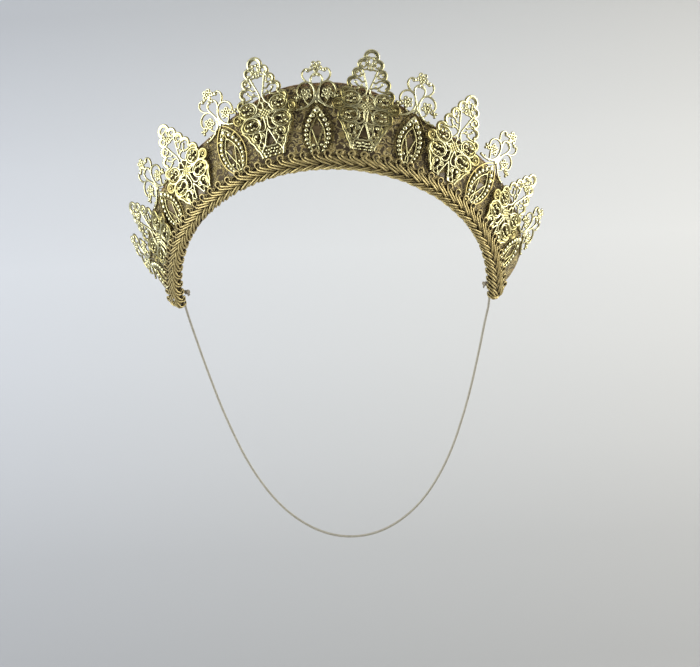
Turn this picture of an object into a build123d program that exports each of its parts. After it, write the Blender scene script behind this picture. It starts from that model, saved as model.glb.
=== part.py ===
from build123d import *

import os
from math import cos, pi, radians, sin, tan

# Crown headpiece.  A stiff, outward-leaning band of buckram, covered in brocade and lined, stands on a
# corded lower edge.  Thirteen pierced brass stampings are glued round its face, kites and fleurs in turn,
# and a gimp braid is folded over the lower edge.  A round elastic hangs from end to end, under the chin
# or behind the head of the wearer.
#
# Frame: as worn, +Z up, the wearer faces -Y and +X is the wearer's left.  The origin is the middle of
# the head opening, and the crown's own axis leans back from +Z by CROWN_TILT.
# Lengths are millimetres, angles are degrees.

# Driving dimensions
EDGE_RADIUS = 78.8        # centre line of the corded lower edge, a half circle round the front
LEFT_LEG = 14.0           # straight run of the lower edge behind the half circle, at the wearer's left
RIGHT_LEG = 6.5           # the same at the wearer's right, where the band was cut shorter
FLARE = 32.0              # lean of the band's face away from the crown's axis
CROWN_TILT = 54.0         # lean of the crown's axis, backwards from vertical
FRONT_HEIGHT = 39.7       # lower edge centre to the band's top, along the flare, at the front
SIDE_HEIGHT = 28.5        # the same at the sides
RISE_START, RISE_END = 6, 54  # the top edge comes down between these distances from the front
END_CORNER = 12.0         # rounding of the band's upper corner at each end

BUCKRAM = 1.5             # thickness of the stiff base
CLOTH = 0.5               # thickness of the brocade cover and of the lining
CORD_RADIUS = 1.4         # piping cord in the lower edge
WIRE_RADIUS = 0.5         # millinery wire
BINDING_DEPTH = 2.2       # bound top edge, measured down the face
BINDING_HALF = 1.35       # half its thickness
BRAID = 1.5               # thickness of the gimp braid
BRAID_TOP = 6.3           # height of the braid on the face, above the lower edge centre
BRAID_INNER_ANGLE = -77   # where the braid ends on the inner side, round the lower edge from its bottom
BRAID_STAND_OFF = 1.0     # how far the stampings' feet push the braid's upper rim outwards
RIM_THIN = 0.1            # the braid is this much thinner at its upper rim
BINDING_GAP = 0.1         # between the braid's upper rim and the foot of the binding at each end
REST_LAND = 0.2           # how much the braid is flattened where it rests on a table

BRASS = 0.8               # thickness of the stampings
STAMPING_BACK = 1.45      # back face of the stampings, from the middle of the buckram
KITE_RISE = 4.0           # the kites lean outwards to pass in front of the fleurs
STAMPING_PITCH = 20.35    # spacing of the stampings along the lower edge
FLEUR_FOOT = 4.3          # the fleurs' feet are tucked behind the braid down to here
KITE_FOOT = BRAID_TOP + 0.15  # the wider kites are cut off flush with the braid's rim
GLUE_RADIUS = 2.5         # glue spots behind each stamping
GLUE_THICKNESS = 0.16
GLUE_GAP = 0.02

END_CAP = 1.3             # braid turned over each end of the band
ELASTIC_RADIUS = 0.6
KNOT_RADIUS = 1.7         # knot in each end of the elastic, on the lining side
KNOT_SETBACK = 3.5        # from the end of the lower edge to the knot

COVER_FACE = BUCKRAM / 2 + CLOTH
ROLL_INNER = CORD_RADIUS + CLOTH
ROLL_OUTER = ROLL_INNER + BRAID
FLEUR_TOP = 16.6          # a fleur's top flower, above its origin
FACE_START = 3.0          # the cloth lies flat on the buckram from here up
BAND_CLEAR = 60.0         # longer than any height on the band
SIDE_CLEAR = 150.0        # further out than any part of the crown

# How each stamping sits: its number along the band, counted from the front towards the wearer's left,
# then its pattern's origin, as a sideways shift and a height above the lower edge, and its lean to the
# side.  They were glued on by eye, so no two sit quite alike.
KITES = [
    (-5, 2.5, 15.5, -2.0),
    (-3, -1.0, 21.3, -4.0),
    (-1, 0.6, 27.8, -1.0),
    (1, 0.0, 27.5, 0.0),
    (3, -1.5, 22.5, -1.0),
    (5, -0.5, 18.3, 2.5),
]
FLEURS = [
    (-6, 2.0, 27.5, -1.0),
    (-4, -0.7, 30.8, -5.0),
    (-2, 1.4, 32.0, -6.0),
    (0, 1.1, 30.7, 1.0),
    (2, -0.6, 31.8, -1.5),
    (4, 0.5, 32.3, 8.0),
    (6, -0.3, 29.7, 1.0),
]

LEAN = radians(FLARE)
TILT = radians(CROWN_TILT)

# The crown's own plane through its lower edge, its side view, and its cross-section at the wearer's left end
CROWN = Plane(origin=(0, 0, 0), x_dir=(1, 0, 0), z_dir=(0, sin(TILT), cos(TILT)))
SIDE = Plane(origin=(0, 0, 0), x_dir=CROWN.y_dir, z_dir=(1, 0, 0))

with BuildLine(CROWN) as lower_edge:
    Line((EDGE_RADIUS, LEFT_LEG), (EDGE_RADIUS, 0))
    CenterArc((0, 0), EDGE_RADIUS, 0, -180)
    Line((-EDGE_RADIUS, 0), (-EDGE_RADIUS, RIGHT_LEG))

EDGE = lower_edge.wire()
FRONT = (LEFT_LEG + EDGE_RADIUS * pi / 2) / EDGE.length   # where the front is along the lower edge
SECTION = Plane(origin=EDGE @ 0, x_dir=(1, 0, 0), z_dir=EDGE % 0)

HALF_ARC = EDGE_RADIUS * pi / 2


def top_height(along):
    """Height of the top edge up the flare, before the end corners, by distance from the front."""
    share = min(max((RISE_END - abs(along)) / (RISE_END - RISE_START), 0), 1)
    return SIDE_HEIGHT + (FRONT_HEIGHT - SIDE_HEIGHT) * share**2 * (3 - 2 * share)


def band_middle(along, up):
    """Point in the middle of the band's thickness, by the crown's own axes."""
    turn = max(-HALF_ARC, min(HALF_ARC, along)) / EDGE_RADIUS
    reach = EDGE_RADIUS + up * sin(LEAN)
    return (reach * sin(turn), max(abs(along) - HALF_ARC, 0) - reach * cos(turn), up * cos(LEAN))


def across(up, out):
    """Point of the band's cross-section: up the flare, and outwards square to the face."""
    return (up * sin(LEAN) + out * cos(LEAN), up * cos(LEAN) - out * sin(LEAN))


def round_edge(angle, radius):
    """Point round the lower edge: 0 is its bottom, 90 its outer face, -90 its inner face."""
    turn = radians(angle)
    return across(-radius * cos(turn), radius * sin(turn))


def layer(inner, outer, low):
    """Cross-section of a flat layer of the band, between two distances from the buckram's middle."""
    with BuildSketch(SECTION) as section:
        with BuildLine():
            Polyline(
                across(low, inner),
                across(BAND_CLEAR, inner),
                across(BAND_CLEAR, outer),
                across(low, outer),
                close=True,
            )
        make_face()
    return section.sketch


def cloth_path(radius, stand_off, side):
    """One face of the cloth in the cross-section, from the corded edge up to the top of the band."""
    return [
        round_edge(90 * side, radius),
        across(radius - WIRE_RADIUS, radius * side),
        across(FACE_START, stand_off * side),
        across(BAND_CLEAR, stand_off * side),
    ]


FRONT_STOPS = [0, *range(12, RISE_END + 1, 6)]


def outline(leg, inset):
    """The band's side view below its top edge, drawn in by an inset along the face."""
    rise = [band_middle(along, top_height(along) - inset)[1:] for along in FRONT_STOPS]
    level = (SIDE_HEIGHT - inset) * cos(LEAN)
    corner = END_CORNER - inset
    corner_drop = corner * cos(LEAN)
    back = leg - inset
    with BuildSketch(SIDE) as view:
        with BuildLine():
            Polyline((-SIDE_CLEAR, -BAND_CLEAR), (-SIDE_CLEAR, rise[0][1]), rise[0])
            Spline(*rise, tangents=[(1, 0), (1, 0)])
            Line(rise[-1], (back - corner, level))
            EllipticalCenterArc((back - corner, level - corner_drop), corner, corner_drop, start_angle=0, arc_size=90)
            Polyline((back, level - corner_drop), (back, -BAND_CLEAR), (-SIDE_CLEAR, -BAND_CLEAR))
        make_face()
    return view.sketch


def side_block(inset):
    """The band's side views as one block, longer on the wearer's left than on the right."""
    with BuildPart() as block:
        for leg, reach in ((LEFT_LEG, SIDE_CLEAR), (RIGHT_LEG, -SIDE_CLEAR)):
            extrude(outline(leg, inset), amount=reach)
    return block.part


def trim(inset, mode=Mode.INTERSECT):
    """Cut the piece being built to the band's side view, or cut that view out of it."""
    add(side_block(inset), mode=mode)


def arc_radii(points):
    """Radius at each corner of a route: 0.45 of the shorter run, over the tangent of half the turn."""
    places = [Vector(*point) for point in points]
    runs = [after - before for before, after in zip(places, places[1:])]
    return [
        0.45 * min(before.length, after.length) / tan(radians(before.get_angle(after) / 2))
        for before, after in zip(runs, runs[1:])
    ]


def finish(piece, label):
    """Name a finished piece and write it out."""
    piece.part.label = label
    export_step(piece.part, f"parts/{label}.step")


os.makedirs("parts", exist_ok=True)

# ------------------------------------------------------------------ corded lower edge

with BuildPart() as lower_edge_wire:
    with BuildSketch(SECTION):
        Circle(WIRE_RADIUS)
    sweep(path=EDGE)
finish(lower_edge_wire, "lower_edge_wire")

with BuildPart() as edge_cord:
    with BuildSketch(SECTION):
        Circle(CORD_RADIUS)
        Circle(WIRE_RADIUS, mode=Mode.SUBTRACT)
    sweep(path=EDGE)
finish(edge_cord, "edge_cord")

# ------------------------------------------------------------------ band: buckram, cover and lining

with BuildPart() as buckram_base:
    sweep(layer(-BUCKRAM / 2, BUCKRAM / 2, CORD_RADIUS), path=EDGE)
    trim(BINDING_DEPTH)
finish(buckram_base, "buckram_base")

with BuildPart() as front_cover:
    with BuildSketch(SECTION):
        with BuildLine():
            Polyline(*cloth_path(ROLL_INNER, COVER_FACE, 1), *reversed(cloth_path(CORD_RADIUS, BUCKRAM / 2, 1)))
            ThreePointArc(round_edge(90, CORD_RADIUS), round_edge(0, CORD_RADIUS), round_edge(-90, CORD_RADIUS))
            Line(round_edge(-90, CORD_RADIUS), round_edge(-90, ROLL_INNER))
            ThreePointArc(round_edge(-90, ROLL_INNER), round_edge(0, ROLL_INNER), round_edge(90, ROLL_INNER))
        make_face()
    sweep(path=EDGE)
    trim(BINDING_DEPTH)
finish(front_cover, "front_cover")

with BuildPart() as lining:
    with BuildSketch(SECTION):
        with BuildLine():
            Polyline(
                *cloth_path(ROLL_INNER, COVER_FACE, -1),
                *reversed(cloth_path(CORD_RADIUS, BUCKRAM / 2, -1)),
                close=True,
            )
        make_face()
    sweep(path=EDGE)
    trim(BINDING_DEPTH)
finish(lining, "lining")

# ------------------------------------------------------------------ top edge: wire inside a cloth binding

WIRE_BELOW = 0.4 * BINDING_DEPTH
WIRE_STOPS = 26

# The wire ends just short of the rounded corners
wire_start, wire_end = -HALF_ARC - RIGHT_LEG + END_CORNER, HALF_ARC + LEFT_LEG - END_CORNER
wire_points = []
for stop in range(WIRE_STOPS + 1):
    along = wire_start + (wire_end - wire_start) * stop / WIRE_STOPS
    wire_points.append(CROWN.from_local_coords(band_middle(along, top_height(along) - WIRE_BELOW)))
with BuildLine() as wire_route:
    Spline(*wire_points)

with BuildPart() as upper_edge_wire:
    with BuildSketch(Plane(origin=wire_route.line @ 0, z_dir=wire_route.line % 0)):
        Circle(WIRE_RADIUS)
    sweep(path=wire_route.line)
finish(upper_edge_wire, "upper_edge_wire")

with BuildPart() as top_binding:
    sweep(layer(-BINDING_HALF, BINDING_HALF, BRAID_TOP + BINDING_GAP), path=EDGE)
    trim(0)
    trim(BINDING_DEPTH, mode=Mode.SUBTRACT)
    add(upper_edge_wire.part, mode=Mode.SUBTRACT)
finish(top_binding, "top_binding")

# ------------------------------------------------------------------ gimp braid over the lower edge


def braid_rim(out):
    """Corner of the braid's upper rim, out from the band by its stand-off."""
    return across(BRAID_TOP, out + BRAID_STAND_OFF)


with BuildSketch(SECTION) as braid_section:
    with BuildLine():
        ThreePointArc(
            round_edge(BRAID_INNER_ANGLE, ROLL_INNER),
            round_edge(0, ROLL_INNER),
            round_edge(90, ROLL_INNER),
        )
        Polyline(
            round_edge(90, ROLL_INNER),
            braid_rim(ROLL_INNER),
            braid_rim(ROLL_OUTER - RIM_THIN),
            round_edge(90, ROLL_OUTER),
        )
        ThreePointArc(
            round_edge(90, ROLL_OUTER),
            round_edge(0, ROLL_OUTER),
            round_edge(BRAID_INNER_ANGLE, ROLL_OUTER),
        )
        Line(round_edge(BRAID_INNER_ANGLE, ROLL_OUTER), round_edge(BRAID_INNER_ANGLE, ROLL_INNER))
    make_face()

with BuildSketch(SECTION) as braid_end:
    with BuildLine():
        Polyline(
            round_edge(90, ROLL_OUTER),
            braid_rim(ROLL_OUTER - RIM_THIN),
            across(BRAID_TOP, -COVER_FACE),
            round_edge(-90, ROLL_OUTER),
        )
        ThreePointArc(round_edge(-90, ROLL_OUTER), round_edge(0, ROLL_OUTER), round_edge(90, ROLL_OUTER))
    make_face()

with BuildPart() as gimp_braid:
    sweep(braid_section.sketch, path=EDGE)
    extrude(braid_end.sketch, amount=END_CAP, dir=CROWN.y_dir)
    right_end = braid_end.sketch.mirror(Plane.YZ).moved(Location(CROWN.y_dir * (RIGHT_LEG - LEFT_LEG)))
    extrude(right_end, amount=END_CAP, dir=CROWN.y_dir)
    split(bisect_by=CROWN.offset(REST_LAND - ROLL_OUTER), keep=Keep.TOP)
finish(gimp_braid, "gimp_braid")

# ------------------------------------------------------------------ stampings: patterns, drawn once

# Both patterns are drawn on their right half, in millimetres from their origin, and mirrored.
# A kite's origin is its central cluster.  Its rim is a row of round lobes: x, y and radius.
KITE_LOBES = [
    (0.0, 24.5, 3.9),
    (3.5, 20.7, 3.0),
    (5.6, 16.0, 3.0),
    (7.5, 11.2, 3.2),
    (9.6, 5.9, 3.6),
    (13.6, 0.0, 3.1),
    (10.0, -5.6, 4.0),
    (7.6, -12.4, 3.4),
    (5.2, -18.4, 3.0),
    (2.6, -23.2, 2.6),
]
KITE_HOLES = [
    (0.0, 24.6, 2.3),
    (3.5, 20.4, 1.6),
    (5.7, 15.9, 1.5),
    (7.4, 11.0, 1.8),
    (9.4, 5.6, 2.1),
    (4.4, 5.3, 2.2),
    (13.6, 0.0, 1.7),
    (9.6, -5.4, 2.2),
    (4.4, -5.0, 2.3),
    (6.6, -11.6, 1.7),
    (5.2, -17.8, 1.3),
    (0.0, -20.0, 1.4),
]
KITE_WINDOW_TOP, KITE_WINDOW_HALF, KITE_WINDOW_TIP = 17.6, 3.2, 4.6
KITE_DOOR_TIP, KITE_DOOR_HALF, KITE_DOOR_FOOT = -7.4, 3.0, -16.6

with BuildSketch() as kite_pattern:
    with BuildLine():
        right_side = [(x, y) for x, y, radius in KITE_LOBES]
        left_side = [(-x, y) for x, y, radius in reversed(KITE_LOBES)]
        Polyline(*right_side, *left_side[:-1], close=True)
    make_face()
    for x, y, radius in KITE_LOBES:
        with Locations((x, y), (-x, y)):
            Circle(radius)
    for x, y, radius in KITE_HOLES:
        with Locations((x, y), (-x, y)):
            Circle(radius, mode=Mode.SUBTRACT)
    with BuildLine():
        Polyline(
            (-KITE_WINDOW_HALF, KITE_WINDOW_TOP),
            (KITE_WINDOW_HALF, KITE_WINDOW_TOP),
            (0, KITE_WINDOW_TIP),
            close=True,
        )
    make_face(mode=Mode.SUBTRACT)
    with BuildLine():
        Polyline(
            (-KITE_DOOR_HALF, KITE_DOOR_FOOT),
            (KITE_DOOR_HALF, KITE_DOOR_FOOT),
            (0, KITE_DOOR_TIP),
            close=True,
        )
    make_face(mode=Mode.SUBTRACT)
    with Locations((8.0, 0), (-8.0, 0)):
        Ellipse(2.4, 0.8, mode=Mode.SUBTRACT)

# A fleur's origin is where its two stems cross.  It is all bent strips, beads and five-petalled flowers.
STRIP = 1.1               # width of a strip
PETALS, PETAL_RADIUS, PETAL_REACH, BOSS_RADIUS = 5, 1.05, 1.75, 1.3
FLEUR_STRIPS = [
    [(0.2, -1.8), (0.7, 1.5), (1.3, 4.5), (2.4, 8.0), (2.7, 10.4), (1.9, 12.2), (0.8, 12.6)],
    [(4.8, -3.6), (2.0, -0.8), (0.9, 2.4), (1.4, 5.6), (3.4, 8.4), (6.2, 9.0), (8.6, 7.2), (9.0, 4.4), (7.4, 2.6)],
    [(4.2, 8.9), (6.4, 11.2), (6.6, 13.6), (5.2, 15.4), (3.4, 15.2)],
    [(4.4, -3.6), (6.6, -4.6), (9.6, -4.4)],
    [(0.2, -1.4), (4.4, -5.4), (6.6, -12.0), (6.3, -18.0), (4.3, -24.0), (1.8, -28.0)],
    [(0.0, -5.4), (3.9, -10.4), (5.0, -17.0), (3.4, -24.0), (1.8, -28.0)],
    [(0.0, -10.4), (2.3, -14.2), (2.9, -19.0), (1.4, -27.0)],
]
FLEUR_BEADS = [
    (1.0, 12.4, 0.95),
    (3.2, 15.0, 1.1),
    (9.0, 2.6, 1.0),
    (10.4, 1.6, 1.0),
    (9.6, -4.4, 1.0),
    (0.0, -5.6, 1.2),
    (2.2, -8.2, 0.95),
    (3.6, -10.6, 0.9),
    (4.4, -13.0, 0.85),
    (4.9, -15.3, 0.8),
    (5.0, -17.6, 0.75),
    (4.8, -19.8, 0.7),
]
FLEUR_FLOWERS = [(0.0, FLEUR_TOP), (5.2, 3.0)]

with BuildSketch() as fleur_pattern:
    for points in FLEUR_STRIPS:
        with BuildLine():
            Spline(*points)
        trace(line_width=STRIP)
    for x, y, radius in FLEUR_BEADS:
        with Locations((x, y)):
            Circle(radius)
    for x, y in FLEUR_FLOWERS:
        with Locations((x, y)):
            Circle(BOSS_RADIUS)
            with PolarLocations(PETAL_REACH, PETALS, start_angle=90):
                Circle(PETAL_RADIUS)
    with Locations((0, 14.0)):
        Rectangle(STRIP, 4.0)
    with Locations((0, -5.5)):
        Rectangle(STRIP, 11.0)
    with Locations((1.4, 2.6)):
        Rectangle(3.0, STRIP)
    with Locations((0, -27.0)):
        Ellipse(3.4, 1.4)
    mirror(about=Plane.YZ)


# ------------------------------------------------------------------ stampings: one of each, placed


def face_place(number, shift, up, out, foot=0.0, rise=0.0, lean=0.0):
    """Plane on the band's face at a stamping's number, with x to the wearer's left and y up the flare.

    It is tipped outwards by rise about a line at the stamping's foot, and turned sideways by lean.
    """
    share = FRONT - number * STAMPING_PITCH / EDGE.length
    sideways = (EDGE % share) * -1
    outwards = sideways.cross(CROWN.z_dir)
    face = Plane(origin=EDGE @ share, x_dir=sideways, z_dir=outwards * cos(LEAN) - CROWN.z_dir * sin(LEAN))
    hinge = face * Location((0, foot, out), (rise, 0, 0))
    return Plane(hinge * Location((shift, up - foot, 0), (0, 0, -lean)))


def stamping(pattern, place, foot, label):
    """Cut one stamping from its pattern, trim its foot, and write it out."""
    with BuildPart() as piece:
        with BuildSketch(place):
            add(pattern.sketch)
        extrude(amount=BRASS)
        split(bisect_by=foot, keep=Keep.TOP)
    finish(piece, label)


def foot_plane(number, foot):
    """Plane square to the flare, at the height where a stamping's foot is cut."""
    level = face_place(number, 0, foot, 0)
    return Plane(origin=level.origin, x_dir=level.x_dir, z_dir=level.y_dir)


for count, (number, shift, up, lean) in enumerate(KITES, start=1):
    place = face_place(number, shift, up, STAMPING_BACK, KITE_FOOT, KITE_RISE, lean)
    stamping(kite_pattern, place, foot_plane(number, KITE_FOOT), f"kite_filigree_{count}")

for count, (number, shift, up, lean) in enumerate(FLEURS, start=1):
    place = face_place(number, shift, up, STAMPING_BACK, FLEUR_FOOT, 0.0, lean)
    stamping(fleur_pattern, place, foot_plane(number, FLEUR_FOOT), f"fleur_filigree_{count}")

# ------------------------------------------------------------------ glue spots behind the stampings

GLUE_LOW, GLUE_HIGH = 7.0, 15.5
TWO_SPOTS = 4             # up to this number a stamping is held by a second spot, higher up
with BuildPart() as glue_spots:
    for number in range(-6, 7):
        for height in [GLUE_LOW, GLUE_HIGH] if abs(number) <= TWO_SPOTS else [GLUE_LOW]:
            with BuildSketch(face_place(number, 0, height, COVER_FACE + GLUE_GAP)):
                Circle(GLUE_RADIUS)
            extrude(amount=GLUE_THICKNESS)
finish(glue_spots, "glue_spots")

# ------------------------------------------------------------------ elastic and its knots

EXIT_IN = 2.2             # the elastic leaves each end cap this far inside the lower edge's centre line
EXIT_RUN = 5.0            # it runs straight out of the cap this far before it hangs


def knot_place(side, leg):
    """Middle of an elastic's knot, on the inner side of the band near one end."""
    out, up = round_edge(-100, ROLL_OUTER + KNOT_RADIUS)
    return CROWN.from_local_coords((side * (EDGE_RADIUS + out), leg - KNOT_SETBACK, up))


def elastic_exit(side, leg):
    """First two points of the elastic at one end of the band."""
    cap_exit = CROWN.from_local_coords((side * (EDGE_RADIUS - EXIT_IN), leg + END_CAP, 0))
    return [tuple(cap_exit), tuple(cap_exit + CROWN.y_dir * EXIT_RUN)]


for side, leg, label in ((1, LEFT_LEG, "elastic_knot_left"), (-1, RIGHT_LEG, "elastic_knot_right")):
    with BuildPart() as elastic_knot:
        with Locations(knot_place(side, leg)):
            Sphere(KNOT_RADIUS)
    finish(elastic_knot, label)

# Left half of the hanging elastic, down to just short of the middle of its sag
LEFT_HANG = [
    (73.8, 13.0, -25.5),
    (69.6, 13.3, -42.0),
    (62.0, 13.2, -68.0),
    (50.5, 12.9, -97.0),
    (34.0, 12.7, -120.5),
    (12.0, 12.6, -134.0),
]
RIGHT_HANG = [(-x, y, z) for x, y, z in reversed(LEFT_HANG)]
elastic_route = [
    *elastic_exit(1, LEFT_LEG),
    *LEFT_HANG,
    *RIGHT_HANG,
    *reversed(elastic_exit(-1, RIGHT_LEG)),
]
elastic_radii = arc_radii(elastic_route)
print("elastic arc radii:", [round(radius, 1) for radius in elastic_radii])

with BuildLine() as elastic_path:
    FilletPolyline(*elastic_route, radius=elastic_radii)
with BuildPart() as elastic_cord:
    with BuildSketch(Plane(origin=elastic_path.line @ 0, z_dir=elastic_path.line % 0)):
        Circle(ELASTIC_RADIUS)
    sweep(path=elastic_path.line)
print("elastic length:", round(elastic_path.wire().length, 1))
print("elastic ends:", [tuple(round(value, 3) for value in point) for point in elastic_route[:2] + elastic_route[-2:]])
finish(elastic_cord, "elastic_cord")
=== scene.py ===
"""Looks of the crown headpiece: brass filigree on a brocade band, gimp braid over its edge, elastic below.

Everything is in metres in the part's own frame.  Patterns and sections are drawn in millimetres, times MM.
"""

from math import cos, pi, radians, sin, tau

import bpy
import numpy as np
from mathutils import Matrix, Vector


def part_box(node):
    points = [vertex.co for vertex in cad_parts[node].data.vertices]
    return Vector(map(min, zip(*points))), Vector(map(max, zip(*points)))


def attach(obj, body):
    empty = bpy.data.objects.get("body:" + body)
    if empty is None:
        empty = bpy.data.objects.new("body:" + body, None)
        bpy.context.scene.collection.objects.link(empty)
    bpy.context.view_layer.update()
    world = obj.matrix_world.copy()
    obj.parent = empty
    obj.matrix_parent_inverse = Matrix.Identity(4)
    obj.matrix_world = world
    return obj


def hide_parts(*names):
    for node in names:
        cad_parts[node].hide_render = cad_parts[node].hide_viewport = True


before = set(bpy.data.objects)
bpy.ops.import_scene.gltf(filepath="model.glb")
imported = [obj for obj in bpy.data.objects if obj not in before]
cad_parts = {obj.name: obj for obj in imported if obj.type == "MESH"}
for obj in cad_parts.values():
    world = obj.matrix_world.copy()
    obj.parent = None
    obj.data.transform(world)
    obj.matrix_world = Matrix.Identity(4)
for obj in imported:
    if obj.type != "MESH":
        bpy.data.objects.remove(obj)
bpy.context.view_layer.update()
MM = 0.001
SCENE = bpy.context.scene

# ------------------------------------------------------------------ camera

CAMERA_PLACE = (0.0784172, -0.9871951, 0.1315199)
CAMERA_AIM = (0.0062565, -0.0032586, -0.0255236)
CAMERA_ROLL = radians(-4.235)
CAMERA_LENS = 102.82

camera_data = bpy.data.cameras.new("camera")
camera_data.lens = CAMERA_LENS
camera_data.clip_start = 0.01
camera_data.clip_end = 50.0
camera = bpy.data.objects.new("camera", camera_data)
SCENE.collection.objects.link(camera)
look = (Vector(CAMERA_AIM) - Vector(CAMERA_PLACE)).to_track_quat("-Z", "Y").to_matrix().to_4x4()
camera.matrix_world = Matrix.Translation(CAMERA_PLACE) @ look @ Matrix.Rotation(CAMERA_ROLL, 4, "Z")
SCENE.camera = camera

# ------------------------------------------------------------------ the band's own measures, in millimetres

EDGE_RADIUS = 78.8            # centre line of the corded lower edge, a half circle round the front
LEFT_LEG = 14.0               # straight run behind the half circle, at the wearer's left
RIGHT_LEG = 6.5               # the same at the wearer's right, where the band is shorter
FLARE = radians(32.0)         # lean of the face away from the crown's axis
CROWN_TILT = radians(54.0)    # lean of the crown's axis back from upright, as worn
FRONT_HEIGHT = 39.7           # lower edge to the band's top, up the flare, at the front
SIDE_HEIGHT = 28.5            # the same at the sides
RISE_START, RISE_END = 6, 54  # the top edge comes down between these distances from the front
END_CORNER = 12.0             # radius of the band's top corners
HALF_ARC = EDGE_RADIUS * pi / 2
LEFT_END = HALF_ARC + LEFT_LEG       # ends of the band, along its lower edge from the front
RIGHT_END = -HALF_ARC - RIGHT_LEG


def to_row(x, back, up):
    """Points given by the crown's own axes, in millimetres, as metres in the row's frame."""
    y = back * cos(CROWN_TILT) + up * sin(CROWN_TILT)
    z = up * cos(CROWN_TILT) - back * sin(CROWN_TILT)
    return np.stack([x, y, z], axis=-1) * MM


def band(along, up, out):
    """Points on the band: along its lower edge from the front, up the flare, and out square to the face."""
    along, up, out = np.broadcast_arrays(*[np.asarray(value, float) for value in (along, up, out)])
    turn = np.clip(along, -HALF_ARC, HALF_ARC) / EDGE_RADIUS
    leg = np.maximum(np.abs(along) - HALF_ARC, 0.0)
    reach = EDGE_RADIUS + up * sin(FLARE) + out * cos(FLARE)
    return to_row(reach * np.sin(turn), leg - reach * np.cos(turn), up * cos(FLARE) - out * sin(FLARE))


def round_edge(angle, radius):
    """Up and out of a point round the lower edge: 0 is its bottom, 90 its outer face, -90 its inner face."""
    turn = np.radians(angle)
    return -radius * np.cos(turn), radius * np.sin(turn)


def top_height(along):
    """Height of the band's top edge, up the flare."""
    along = np.asarray(along, float)
    share = np.clip((RISE_END - np.abs(along)) / (RISE_END - RISE_START), 0.0, 1.0)
    height = SIDE_HEIGHT + (FRONT_HEIGHT - SIDE_HEIGHT) * share**2 * (3 - 2 * share)
    turn = np.clip(along, -HALF_ARC, HALF_ARC) / EDGE_RADIUS
    reach = EDGE_RADIUS + SIDE_HEIGHT * sin(FLARE)
    setback = np.maximum(np.abs(along) - HALF_ARC, 0.0) - reach * np.cos(turn)
    corner_start = np.where(along > 0, LEFT_LEG, RIGHT_LEG) - END_CORNER
    into_corner = np.clip(setback - corner_start, 0.0, END_CORNER)
    return height - (END_CORNER - np.sqrt(END_CORNER**2 - into_corner**2))


# ------------------------------------------------------------------ mesh helpers


def make_object(name, points, faces, material):
    """A smooth mesh object with one material."""
    mesh = bpy.data.meshes.new(name)
    mesh.from_pydata([tuple(point) for point in points], [], faces)
    mesh.validate()
    mesh.shade_smooth()
    mesh.materials.append(material)
    piece = bpy.data.objects.new(name, mesh)
    SCENE.collection.objects.link(piece)
    return piece


def stand_for(piece, node):
    """Put a finished piece on the crown's one body in place of its CAD node."""
    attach(piece, "root")
    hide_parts(node)


LINE_STEP = 0.12          # spacing of the points along a pattern's lines


def smooth_line(points, step=LINE_STEP):
    """Points at most a step apart on a smooth curve through the given ones."""
    points = np.array(points, float)
    before = np.vstack([2 * points[0] - points[1], points[:-1]])
    after = np.vstack([points[1:], 2 * points[-1] - points[-2]])
    last = np.vstack([after[1:], 2 * after[-1] - after[-2]])
    runs = []
    for a, b, c, d in zip(before[:-1], points, after, last):
        count = max(3, int(np.linalg.norm(c - b) / step) + 1)
        t = np.linspace(0, 1, count, endpoint=False)[:, None]
        square, cube = 2 * a - 5 * b + 4 * c - d, 3 * b - a - 3 * c + d
        runs.append(0.5 * (2 * b + (c - a) * t + square * t**2 + cube * t**3))
    return np.vstack([*runs, points[-1:]])


def arc(x, y, radius, start=0.0, end=360.0):
    """Points of an arc, angles in degrees."""
    count = max(6, int(abs(radians(end - start)) * radius / LINE_STEP))
    turn = np.radians(np.linspace(start, end, count))
    return np.stack([x + radius * np.cos(turn), y + radius * np.sin(turn)], axis=-1)


# ------------------------------------------------------------------ elastic

ELASTIC_RADIUS = 0.6
LEFT_EXIT = [(76.6, 8.993, -12.378), (76.6, 11.932, -16.423)]
RIGHT_EXIT = [(-76.6, 7.524, -10.355), (-76.6, 4.585, -6.310)]
LEFT_HANG = [
    (73.8, 13.0, -25.5),
    (69.6, 13.3, -42.0),
    (62.0, 13.2, -68.0),
    (50.5, 12.9, -97.0),
    (34.0, 12.7, -120.5),
    (12.0, 12.6, -134.0),
]
ROUTE = [*LEFT_EXIT, *LEFT_HANG, *[(-x, y, z) for x, y, z in reversed(LEFT_HANG)], *RIGHT_EXIT]

elastic_curve = bpy.data.curves.new("elastic", "CURVE")
elastic_curve.dimensions = "3D"
elastic_curve.bevel_depth = 1.0      # times each point's own radius
elastic_curve.bevel_resolution = 4
elastic_curve.use_fill_caps = True
elastic_curve.resolution_u = 24
spline = elastic_curve.splines.new("NURBS")
spline.points.add(len(ROUTE) - 1)
for point, (x, y, z) in zip(spline.points, ROUTE):
    point.co = (x * MM, y * MM, z * MM, 1.0)
    point.radius = ELASTIC_RADIUS * MM
spline.order_u = 3
spline.use_endpoint_u = True
elastic = bpy.data.objects.new("elastic", elastic_curve)
SCENE.collection.objects.link(elastic)
stand_for(elastic, "elastic_cord")

# ------------------------------------------------------------------ materials


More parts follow.
